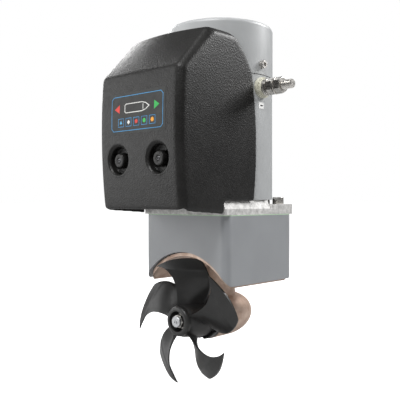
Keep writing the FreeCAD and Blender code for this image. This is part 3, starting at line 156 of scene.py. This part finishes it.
def grained_plastic():
    """The cover's charcoal moulding, with a pebbled leather grain."""
    base = (0.0105, 0.0102, 0.0098)
    shader = Shader("grained_plastic", base, 0.48)
    shader.surface.inputs["Specular IOR Level"].default_value = 0.27
    cloud = shader.noise(0.030, 4)
    shader.tint(shader.ramp(cloud, 0.35, 0.65, 0, 1), scaled(base, 0.85), scaled(base, 1.25))
    shader.rough(shader.noise(0.004, 3), 0.36, 0.47)
    shader.bump(shader.cells(0.0014, "SMOOTH_F1"), 0.00030, 0.8)
    shader.bump(shader.noise(0.0009, 2), 0.00010, 0.4)
    return shader.material


def smooth_plastic(name, base, roughness, shine=0.5):
    """A plain satin moulding with faint flow marks."""
    shader = Shader(name, base, roughness)
    shader.surface.inputs["Specular IOR Level"].default_value = shine
    flow = shader.noise(0.012, 3)
    shader.tint(shader.ramp(flow, 0.35, 0.65, 0, 1), scaled(base, 0.88), scaled(base, 1.15))
    shader.rough(shader.noise(0.005, 4), roughness * 0.9, roughness * 1.15)
    shader.bump(shader.noise(0.0012, 3), 0.00004, 0.5)
    return shader.material


def paint(name, base, roughness):
    """Sprayed satin paint: even colour with a slight orange peel and faint dust."""
    shader = Shader(name, base, roughness)
    cloud = shader.noise(0.040, 4)
    shader.tint(shader.ramp(cloud, 0.35, 0.65, 0, 1), scaled(base, 0.96), scaled(base, 1.04))
    shader.rough(shader.noise(0.010, 4), roughness * 0.92, roughness * 1.1)
    shader.bump(shader.noise(0.0018, 2), 0.00003, 0.5)
    shader.surface.inputs["Coat Weight"].default_value = 0.12
    shader.surface.inputs["Coat Roughness"].default_value = 0.35
    return shader.material


def raw_casting():
    """Rough sand-cast aluminium, mottled light grey."""
    shader = Shader("raw_casting", (0.62, 0.61, 0.59), 0.6, 0.15)
    patches = shader.noise(0.007, 5, 0.65)
    shader.tint(shader.ramp(patches, 0.38, 0.64, 0, 1), (0.40, 0.395, 0.385), (0.68, 0.67, 0.655))
    shader.rough(shader.noise(0.003, 4), 0.50, 0.70)
    shader.bump(shader.noise(0.0022, 5, 0.6), 0.0006, 0.55)
    shader.bump(shader.noise(0.009, 2), 0.0012, 0.35)
    return shader.material


def cast_bronze():
    """Matte pinkish bronze, as cast and bead blasted."""
    shader = Shader("cast_bronze", (0.50, 0.34, 0.25), 0.5, 0.55)
    patches = shader.noise(0.012, 5, 0.6)
    shader.tint(shader.ramp(patches, 0.35, 0.66, 0, 1), (0.42, 0.295, 0.230), (0.58, 0.450, 0.370))
    shader.rough(shader.noise(0.004, 4), 0.42, 0.58)
    shader.bump(shader.noise(0.0014, 4), 0.00012, 0.6)
    return shader.material


def plated_steel(name, base, roughness):
    """Turned and plated steel: bright, with fine streaks round its axis."""
    shader = Shader(name, base, roughness, 1.0)
    streaks = shader.noise(0.0012, 3, 0.6, (0.3, 1, 1))
    shader.tint(shader.ramp(streaks, 0.35, 0.65, 0, 1), scaled(base, 0.8), scaled(base, 1.1))
    shader.rough(shader.noise(0.002, 3), roughness * 0.75, roughness * 1.35)
    shader.bump(streaks, 0.00003, 0.5)
    return shader.material


def sheet_gasket():
    shader = Shader("sheet_gasket", (0.46, 0.62, 0.46), 0.7)
    fibres = shader.noise(0.0015, 5, 0.7)
    shader.tint(shader.ramp(fibres, 0.35, 0.65, 0, 1), (0.32, 0.49, 0.30), (0.48, 0.66, 0.46))
    shader.bump(fibres, 0.0001, 0.5)
    return shader.material


def rubber():
    shader = Shader("rubber", (0.018, 0.018, 0.018), 0.62)
    shader.tint(shader.noise(0.006, 4), (0.012, 0.012, 0.012), (0.03, 0.03, 0.03))
    shader.bump(shader.noise(0.0008, 3), 0.00006, 0.5)
    return shader.material


def ivory():
    """Phenolic insulator, slightly translucent looking and mottled."""
    shader = Shader("ivory", (0.62, 0.61, 0.50), 0.42)
    shader.tint(shader.ramp(shader.noise(0.005, 4), 0.35, 0.65, 0, 1), (0.47, 0.46, 0.37), (0.60, 0.59, 0.50))
    shader.bump(shader.noise(0.001, 3), 0.00005, 0.4)
    return shader.material


def metal(name, base, roughness, size=0.003):
    """Plain bare metal with mottled polish."""
    shader = Shader(name, base, roughness, 1.0)
    spots = shader.noise(size, 4)
    shader.tint(shader.ramp(spots, 0.35, 0.65, 0, 1), scaled(base, 0.82), scaled(base, 1.08))
    shader.rough(spots, roughness * 0.8, roughness * 1.3)
    return shader.material


finish = {
    "cover_plastic": grained_plastic(),
    "propeller_plastic": smooth_plastic("propeller_plastic", (0.022, 0.0218, 0.0215), 0.36, 0.4),
    "black_plastic": smooth_plastic("black_plastic", (0.016, 0.016, 0.016), 0.42),
    "motor_paint": paint("motor_paint", (0.40, 0.41, 0.415), 0.42),
    "block_paint": paint("block_paint", (0.275, 0.285, 0.298), 0.45),
    "raw_casting": raw_casting(),
    "bronze": cast_bronze(),
    "zinc_steel": plated_steel("zinc_steel", (0.62, 0.60, 0.57), 0.30),
    "bright_steel": plated_steel("bright_steel", (0.60, 0.60, 0.61), 0.24),
    "dark_steel": metal("dark_steel", (0.10, 0.10, 0.105), 0.45),
    "zinc_anode": metal("zinc_anode", (0.50, 0.51, 0.52), 0.45, 0.0015),
    "pale_gasket": sheet_gasket(),
    "black_gasket": rubber(),
    "spider_rubber": rubber(),
    "ivory_insulator": ivory(),
    "copper": metal("copper", (0.72, 0.38, 0.24), 0.32),
    "laminations": metal("laminations", (0.24, 0.24, 0.25), 0.42),
    "magnet": metal("magnet", (0.05, 0.05, 0.055), 0.55),
    "carbon": smooth_plastic("carbon", (0.02, 0.02, 0.02), 0.5),
    "label_film": smooth_plastic("label_film", (0.042, 0.043, 0.042), 0.5, 0.15),
    "white_film": smooth_plastic("white_film", (0.85, 0.85, 0.84), 0.4),
}


# ---------------------------------------------------------------- CAD nodes

def soften(node, width, segments=4):
    """Rounds a CAD node's sharp edges by a small bevel."""
    weld = node.modifiers.new("weld", "WELD")
    weld.merge_threshold = 1e-6
    bevel = node.modifiers.new("bevel", "BEVEL")
    bevel.width = width
    bevel.segments = segments
    bevel.limit_method = "ANGLE"
    bevel.angle_limit = math.radians(20)
    bevel.use_clamp_overlap = True
    bevel.harden_normals = True


slot_of = {entry["node"]: entry["material_slot"] for entry in frame["record"]["subparts"]}
for name, node in nodes.items():
    node.data.materials.clear()
    node.data.materials.append(finish[slot_of[name]])

softened = {"saddle_block": 0.6, "motor_bracket": 0.6, "gear_leg": 0.5,
            "propeller": 0.4, "bracket_bolts": 0.3,
            "terminal_nuts": 0.15, "terminal_insulator": 0.3,
            "seal_carrier": 0.3, "propeller_nut": 0.15, "control_box": 0.8}
for name, width in softened.items():
    soften(nodes[name], width * MM)


# ---------------------------------------------------------------- new pieces

def add_piece(name, mesh, slot, body="thruster", material=None, smooth=True, sharp=True):
    """Links a mesh as a piece of the part; sharp keeps hard edges in a smooth one."""
    piece = bpy.data.objects.new(name, mesh)
    bpy.context.collection.objects.link(piece)
    mesh.materials.append(material or finish[slot])
    for polygon in mesh.polygons:
        polygon.use_smooth = smooth
    if smooth and sharp:
        mesh.set_sharp_from_angle(angle=math.radians(30))
    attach(piece, body)
    return piece


def cover_moulding():
    """The cover as a moulding with well rounded edges: an even mesh of the shell, smoothed.

    The wells keep their edges: the smoothing is held back inside the radius that they take up.
    """
    cell = 0.85 * MM
    passes = 30
    step = 0.6
    well_reach = 18.5 * MM
    fade = 4 * MM
    well_depth = 40 * MM
    held_back = 0.02
    shell = bpy.data.objects.new("shell_copy", nodes["cover_shell"].data.copy())
    bpy.context.collection.objects.link(shell)
    remesh = shell.modifiers.new("remesh", "REMESH")
    remesh.mode = "VOXEL"
    remesh.voxel_size = cell
    bpy.context.view_layer.update()
    even = shell.evaluated_get(bpy.context.evaluated_depsgraph_get())
    mesh = bpy.data.meshes.new_from_object(even)
    bpy.data.objects.remove(shell)

    count = len(mesh.vertices)
    place = numpy.empty(count * 3)
    mesh.vertices.foreach_get("co", place)
    place = place.reshape(count, 3)
    ends = numpy.empty(len(mesh.edges) * 2, dtype=int)
    mesh.edges.foreach_get("vertices", ends)
    ends = ends.reshape(-1, 2)
    neighbours = numpy.bincount(ends.ravel(), minlength=count)

    low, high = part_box("cover_screws")
    well_height = (low.z + high.z) / 2
    well_side = high.x - (high.z - low.z) / 2
    from_well = numpy.hypot(abs(place[:, 0]) - well_side, place[:, 2] - well_height)
    in_front = place[:, 1] < low.y + well_depth
    share = numpy.where(in_front, numpy.clip((from_well - well_reach) / fade, held_back, 1), 1.0)
    for turn in range(passes):
        total = numpy.zeros_like(place)
        for axis in range(3):
            total[:, axis] = (numpy.bincount(ends[:, 0], place[ends[:, 1], axis], count)
                              + numpy.bincount(ends[:, 1], place[ends[:, 0], axis], count))
        place += step * share[:, None] * (total / neighbours[:, None] - place)
    mesh.vertices.foreach_set("co", place.ravel())
    mesh.materials.clear()
    piece = add_piece("cover_moulding", mesh, "cover_plastic", sharp=False)
    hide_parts("cover_shell")


def mesh_of(name, vertices, faces):
    """A mesh with its faces turned outwards."""
    mesh = bpy.data.meshes.new(name)
    mesh.from_pydata(vertices, [], faces)
    mesh.validate()
    build = bmesh.new()
    build.from_mesh(mesh)
    bmesh.ops.recalc_face_normals(build, faces=build.faces)
    build.to_mesh(mesh)
    build.free()
    return mesh


def lofted(name, rings, closed_ends=True):
    """Skins a list of equal rings of points into one mesh."""
    count = len(rings[0])
    vertices = [corner for ring in rings for corner in ring]
    faces = []
    for row in range(len(rings) - 1):
        for i in range(count):
            j = (i + 1) % count
            faces.append((row * count + i, row * count + j,
                          (row + 1) * count + j, (row + 1) * count + i))
    if closed_ends:
        faces.append(tuple(reversed(range(count))))
        faces.append(tuple((len(rings) - 1) * count + i for i in range(count)))
    return mesh_of(name, vertices, faces)


def ring_along_x(x, radius, height, count, radius_of=None):
    """Points round an axis that runs along X at a height."""
    points = []
    for i in range(count):
        angle = 2 * math.pi * i / count
        reach = radius_of(angle) if radius_of else radius
        points.append((x, reach * math.cos(angle), height + reach * math.sin(angle)))
    return points


def threaded_end(start, end, radius, pitch, height, sides):
    """A stud's thread as a true helix, with a chamfered tip."""
    depth = 0.6 * pitch
    tip = 1.2 * MM
    rings = []
    rows = int((end - start) / pitch * 8)
    for row in range(rows + 1):
        x = start + (end - start) * row / rows
        chamfer = radius - max(0.0, x - (end - tip))

        def reach(angle, x=x, chamfer=chamfer):
            turn = (x / pitch - angle / (2 * math.pi)) % 1
            groove = depth * abs(2 * turn - 1)
            return min(radius - groove, chamfer)

        rings.append(ring_along_x(x, 0, height, sides, reach))
    return rings


def sweep_ring(build, profile, height, start, end, climb):
    """Sweeps a profile of (radius, x) round the terminal's axis, climbing along X on the way."""
    steps = 72
    whole = climb == 0
    rows = []
    for step in range(steps + (0 if whole else 1)):
        share = step / steps
        angle = start + (end - start) * share
        rows.append([build.verts.new((x + climb * share, radius * math.cos(angle),
                                      height + radius * math.sin(angle))) for radius, x in profile])
    count = len(profile)
    last = len(rows) if whole else len(rows) - 1
    for row in range(last):
        ahead = rows[(row + 1) % len(rows)]
        for i in range(count):
            j = (i + 1) % count
            build.faces.new((rows[row][i], rows[row][j], ahead[j], ahead[i]))
    if not whole:
        build.faces.new(list(reversed(rows[0])))
        build.faces.new(rows[-1])


def terminal():
    """The stud with its thread, and the washers with a split spring washer between them."""
    sides = 96
    head_thickness = 5 * MM
    shank_share = 0.9
    pitch = 1.5 * MM
    low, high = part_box("terminal_stud")
    height = (low.z + high.z) / 2
    head_radius = (high.z - low.z) / 2
    nuts_low, nuts_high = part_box("terminal_nuts")
    radius = 5.0 * MM
    shank = radius * shank_share
    rings = [ring_along_x(low.x, head_radius, height, sides),
             ring_along_x(low.x + head_thickness, head_radius, height, sides),
             ring_along_x(low.x + head_thickness, shank, height, sides),
             ring_along_x(nuts_high.x - 1 * MM, shank, height, sides)]
    rings += threaded_end(nuts_high.x - 0.5 * MM, high.x, radius, pitch, height, sides)
    stud = add_piece("stud_with_thread", lofted("stud", rings), "zinc_steel")
    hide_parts("terminal_stud")

    low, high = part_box("terminal_washers")
    washers = bmesh.new()
    flat = 2.0 * MM
    spring = nuts_low.x - low.x - flat
    outer = (high.z - low.z) / 2
    hole = 5.25 * MM
    bore_bevel = 0.2 * MM
    rim_bevel = 0.35 * MM
    for start in (low.x, high.x - flat):
        end = start + flat
        profile = [(hole, start + bore_bevel), (hole, end - bore_bevel), (hole + bore_bevel, end),
                   (outer - rim_bevel, end), (outer, end - rim_bevel), (outer, start + rim_bevel),
                   (outer - rim_bevel, start), (hole + bore_bevel, start)]
        sweep_ring(washers, profile, height, 0, 2 * math.pi, 0)
    reach = outer - 0.6 * MM
    split = 0.10
    start = low.x + flat
    thick = spring * 0.86
    profile = [(hole, start), (hole, start + thick), (reach, start + thick), (reach, start)]
    sweep_ring(washers, profile, height, split, 2 * math.pi - split, spring - thick)
    mesh = bpy.data.meshes.new("washers")
    bmesh.ops.recalc_face_normals(washers, faces=washers.faces)
    washers.to_mesh(mesh)
    washers.free()
    piece = add_piece("washers_and_spring", mesh, "zinc_steel", smooth=False)
    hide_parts("terminal_washers")


def well_screws():
    """The two screws at the bottom of the cover's wells, each with a hexagon socket in its end."""
    low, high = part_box("cover_screws")
    radius = (high.z - low.z) / 2
    height = (high.z + low.z) / 2
    socket = 0.45 * radius
    count = 48
    whole = bmesh.new()
    for side in (-1, 1):
        middle = side * (high.x - radius)

        def ring(y, reach, hexagon=False):
            points = []
            for i in range(count):
                angle = 2 * math.pi * i / count
                flat = math.cos(math.pi / 6) / math.cos(angle % (math.pi / 3) - math.pi / 6)
                r = reach * (flat if hexagon else 1)
                points.append((middle + r * math.cos(angle), y, height + r * math.sin(angle)))
            return points

        chamfer = 0.3 * radius
        rings = [ring(high.y, radius), ring(low.y + chamfer, radius), ring(low.y, radius - chamfer),
                 ring(low.y, socket, True), ring(low.y + 0.9 * radius, socket, True)]
        screw = lofted("screw", rings)
        whole.from_mesh(screw)
        bpy.data.meshes.remove(screw)
    mesh = bpy.data.meshes.new("well_screws")
    whole.to_mesh(mesh)
    whole.free()
    piece = add_piece("well_screws", mesh, "zinc_steel", material=finish["dark_steel"])
    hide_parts("cover_screws")


# ---------------------------------------------------------------- label

# How far the film's two faces and the layers of ink stand off the cover's front, in mm.
FILM_BACK = 0.02
FILM_FACE = 0.14
FIRST_INK = 0.19
SECOND_INK = 0.21
THIRD_INK = 0.23
INK_THICKNESS = 0.05
STROKE_PIECE = 8             # a long line is cut into pieces of about this length, in mm

cover_mesh = nodes["cover_shell"].data
cover_surface = BVHTree.FromPolygons([vertex.co for vertex in cover_mesh.vertices],
                                     [polygon.vertices for polygon in cover_mesh.polygons])


def front_at(x, z):
    """The place on the cover's front at (x, z), found by a ray along Y."""
    place, normal, index, distance = cover_surface.ray_cast(Vector((x, -1, z)), Vector((0, 1, 0)))
    return place.y


def on_front(outline, lift):
    """A thin patch of ink that follows the cover's front; outline and lift are in mm."""
    low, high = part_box("cover_label")
    middle_x = (low.x + high.x) / 2
    middle_z = (low.z + high.z) / 2
    back, face = [], []
    for across, up in outline:
        x, z = middle_x + across * MM, middle_z + up * MM
        y = front_at(x, z)
        back.append((x, y - (lift - INK_THICKNESS) * MM, z))
        face.append((x, y - lift * MM, z))
    return lofted("print", [back, face])


def inks():
    """The label's print colours."""
    colours = {"blue": (0.06, 0.24, 0.46), "red": (0.62, 0.06, 0.05), "green": (0.05, 0.42, 0.10),
               "white": (0.62, 0.62, 0.60), "orange": (0.70, 0.30, 0.04), "sky": (0.10, 0.38, 0.62)}
    return {name: smooth_plastic("ink_" + name, colour, 0.5, 0.2) for name, colour in colours.items()}


def label():
    """The cover's film: a bare dark panel with a plain frame, a hull between two arrows and five keys."""
    low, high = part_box("cover_label")
    half_width = (high.x - low.x) / 2 / MM
    half_height = (high.z - low.z) / 2 / MM
    ink = inks()
    rows, columns = 24, 24
    vertices, faces = [], []
    for layer in (FILM_BACK, FILM_FACE):
        for row in range(rows + 1):
            for column in range(columns + 1):
                x = low.x + (high.x - low.x) * column / columns
                z = low.z + (high.z - low.z) * row / rows
                vertices.append((x, front_at(x, z) - layer * MM, z))
    width = columns + 1
    size = width * (rows + 1)
    for row in range(rows):
        for column in range(columns):
            i = row * width + column
            faces.append((i, i + 1, i + width + 1, i + width))
            faces.append((size + i, size + i + width, size + i + width + 1, size + i + 1))
    rim = ([i for i in range(width)] + [row * width + columns for row in range(1, rows + 1)]
           + [rows * width + i for i in range(columns - 1, -1, -1)]
           + [row * width for row in range(rows - 1, 0, -1)])
    for i, j in zip(rim, rim[1:] + rim[:1]):
        faces.append((i, j, size + j, size + i))
    panel = add_piece("label_panel", mesh_of("label_panel", vertices, faces), "label_film")
    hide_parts("cover_label")

    prints = []

    def patch(outline, colour, lift=FIRST_INK):
        piece = add_piece("print_%02d" % len(prints), on_front(outline, lift), "label_film",
                          material=ink[colour], smooth=False)
        prints.append(piece)

    def stroke(points, width, colour, lift=FIRST_INK):
        """A line of the given width through the points, in short pieces so that it follows the bow."""
        for (x0, y0), (x1, y1) in zip(points, points[1:]):
            length = math.hypot(x1 - x0, y1 - y0)
            ux, uy = (x1 - x0) / length, (y1 - y0) / length
            pieces = max(1, int(length / STROKE_PIECE))
            for i in range(pieces):
                a, b = length * i / pieces, length * (i + 1) / pieces
                if i == 0:
                    a -= width / 2
                if i == pieces - 1:
                    b += width / 2
                patch([(x0 + ux * a - uy * width / 2, y0 + uy * a + ux * width / 2),
                       (x0 + ux * b - uy * width / 2, y0 + uy * b + ux * width / 2),
                       (x0 + ux * b + uy * width / 2, y0 + uy * b - ux * width / 2),
                       (x0 + ux * a + uy * width / 2, y0 + uy * a - ux * width / 2)], colour, lift)

    margin = 3.5
    edge = half_width - margin
    top = half_height - margin
    cut = 3.0
    stroke([(-edge + cut, top), (edge - cut, top), (edge, top - cut), (edge, -top + cut),
            (edge - cut, -top), (-edge + cut, -top), (-edge, -top + cut), (-edge, top - cut),
            (-edge + cut, top)], 0.7, "blue")
    hull = [(-16, -4.6), (8, -4.6), (14, -3.2), (19, 0), (14, 3.2), (8, 4.6), (-16, 4.6),
            (-18, 3.4), (-18, -3.4)]
    hull_rise = 5
    stroke([(x, y + hull_rise) for x, y in hull + hull[:1]], 0.9, "white")
    stroke([(10, 2.4), (10, 7.6)], 0.8, "white")
    for side, colour in ((-1, "red"), (1, "green")):
        x = side * 29
        patch([(x + side * 5, 5), (x - side * 2.5, 9.5), (x - side * 2.5, 0.5)], colour)
    key_spacing = 12
    tile = 4.2
    y = -9.5
    mark = 2.4
    for i, colour in enumerate(("sky", "white", "red", "green", "orange")):
        x = key_spacing * (i - 2)
        stroke([(x - tile, y - tile), (x + tile, y - tile), (x + tile, y + tile), (x - tile, y + tile),
                (x - tile, y - tile)], 0.5, "blue", SECOND_INK)
        sides = 3 + i
        turns = [2 * math.pi * k / sides + math.pi / 2 for k in range(sides)]
        patch([(x + mark * math.cos(turn), y + mark * math.sin(turn)) for turn in turns],
              colour, THIRD_INK)


def minus_sign():
    """The plain minus sign printed on the polarity label."""
    low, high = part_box("polarity_label")
    middle = (low.z + high.z) / 2
    rings = []
    radius = high.x
    half_height = 0.8 * MM
    half_width = 2.2 * MM
    skin = 0.05 * MM
    for reach in (radius - skin, radius + skin):
        ring = []
        for share in (-1, -0.5, 0, 0.5, 1):
            angle = share * half_width / radius
            ring.append((reach * math.cos(angle), reach * math.sin(angle), middle - half_height))
        for share in (1, 0.5, 0, -0.5, -1):
            angle = share * half_width / radius
            ring.append((reach * math.cos(angle), reach * math.sin(angle), middle + half_height))
        rings.append(ring)
    add_piece("minus_sign", lofted("minus_sign", rings), "black_plastic", smooth=False)


def painted_seam_shade():
    """A black ring of painted shade: it stands in for the shade in the gap between the motor's yoke and its
    end cap.
    """
    low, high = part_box("motor_yoke")
    radius = high.x
    count = 160
    inner = radius - 0.2 * MM
    outer = radius + 0.06 * MM
    bottom = high.z - 0.5 * MM
    turns = [2 * math.pi * i / count for i in range(count)]
    rings = [[(reach * math.cos(turn), reach * math.sin(turn), z) for turn in turns]
             for z, reach in ((bottom, inner), (bottom, outer), (high.z, outer), (high.z, inner))]
    rings.append(rings[0])
    # painted shade: a thin black band where the seam's gap is shaded
    add_piece("painted_seam_shade", lofted("painted_seam_shade", rings, False), "black_gasket")


cover_moulding()
painted_seam_shade()
terminal()
well_screws()
label()
minus_sign()


# ---------------------------------------------------------------- stage, light and camera

def make_floor():
    """A plain pale floor under the part, which glows for camera rays alone, so that it looks white."""
    low = cad_box[0][2]
    bpy.ops.mesh.primitive_plane_add(size=60, location=(0, 0, low - 0.5 * MM))
    floor = bpy.context.object
    floor.name = "floor"
    shader = Shader("floor_white", (0.5, 0.5, 0.5), 0.8)
    shader.tint(shader.noise(0.5, 2), (0.48, 0.48, 0.48), (0.52, 0.52, 0.52))
    shader.surface.inputs["Emission Color"].default_value = (1, 1, 1, 1)
    path = shader.tree.nodes.new("ShaderNodeLightPath")
    shader.link(shader.ramp(path.outputs["Is Camera Ray"], 0, 1, 0, 1.0),
                shader.surface.inputs["Emission Strength"])
    floor.data.materials.append(shader.material)


def area_light(name, place, target, size, power):
    light = bpy.data.lights.new(name, "AREA")
    light.shape = "DISK"
    light.size = size
    light.energy = power
    lamp = bpy.data.objects.new(name, light)
    bpy.context.collection.objects.link(lamp)
    lamp.location = place
    lamp.rotation_euler = (Vector(target) - Vector(place)).to_track_quat("-Z", "Y").to_euler()


def make_light():
    """A white backdrop for camera rays, a dimmer room for all other rays, and four soft boxes."""
    world = bpy.data.worlds.new("studio")
    bpy.context.scene.world = world
    world.use_nodes = True
    tree = world.node_tree
    room = tree.nodes["Background"]
    room.inputs["Color"].default_value = (1, 1, 1, 1)
    room.inputs["Strength"].default_value = 0.23
    backdrop = tree.nodes.new("ShaderNodeBackground")
    backdrop.inputs["Color"].default_value = (1, 1, 1, 1)
    backdrop.inputs["Strength"].default_value = 1.0
    path = tree.nodes.new("ShaderNodeLightPath")
    mix = tree.nodes.new("ShaderNodeMixShader")
    tree.links.new(path.outputs["Is Camera Ray"], mix.inputs["Fac"])
    tree.links.new(room.outputs["Background"], mix.inputs[1])
    tree.links.new(backdrop.outputs["Background"], mix.inputs[2])
    tree.links.new(mix.outputs["Shader"], tree.nodes["World Output"].inputs["Surface"])
    centre = (0, -0.03, 0.15)
    area_light("front_left", (-0.85, -0.75, 0.32), centre, 1.0, 6.8)
    area_light("left_high", (-1.1, 0.25, 0.75), centre, 0.6, 6.5)
    area_light("right_back", (0.58, 0.92, 0.94), centre, 0.55, 17)
    area_light("front_high", (0.25, -0.75, 1.25), centre, 0.7, 18)


def make_camera():
    data = bpy.data.cameras.new("camera")
    data.lens = 56.3
    data.sensor_width = 36
    camera = bpy.data.objects.new("camera", data)
    bpy.context.collection.objects.link(camera)
    camera.location = (0.4826, -0.5533, 0.1325)
    camera.rotation_euler = (math.radians(90), 0, math.radians(42.93))
    bpy.context.scene.camera = camera


bpy.context.scene.view_settings.view_transform = "Standard"
make_camera()
make_floor()
make_light()
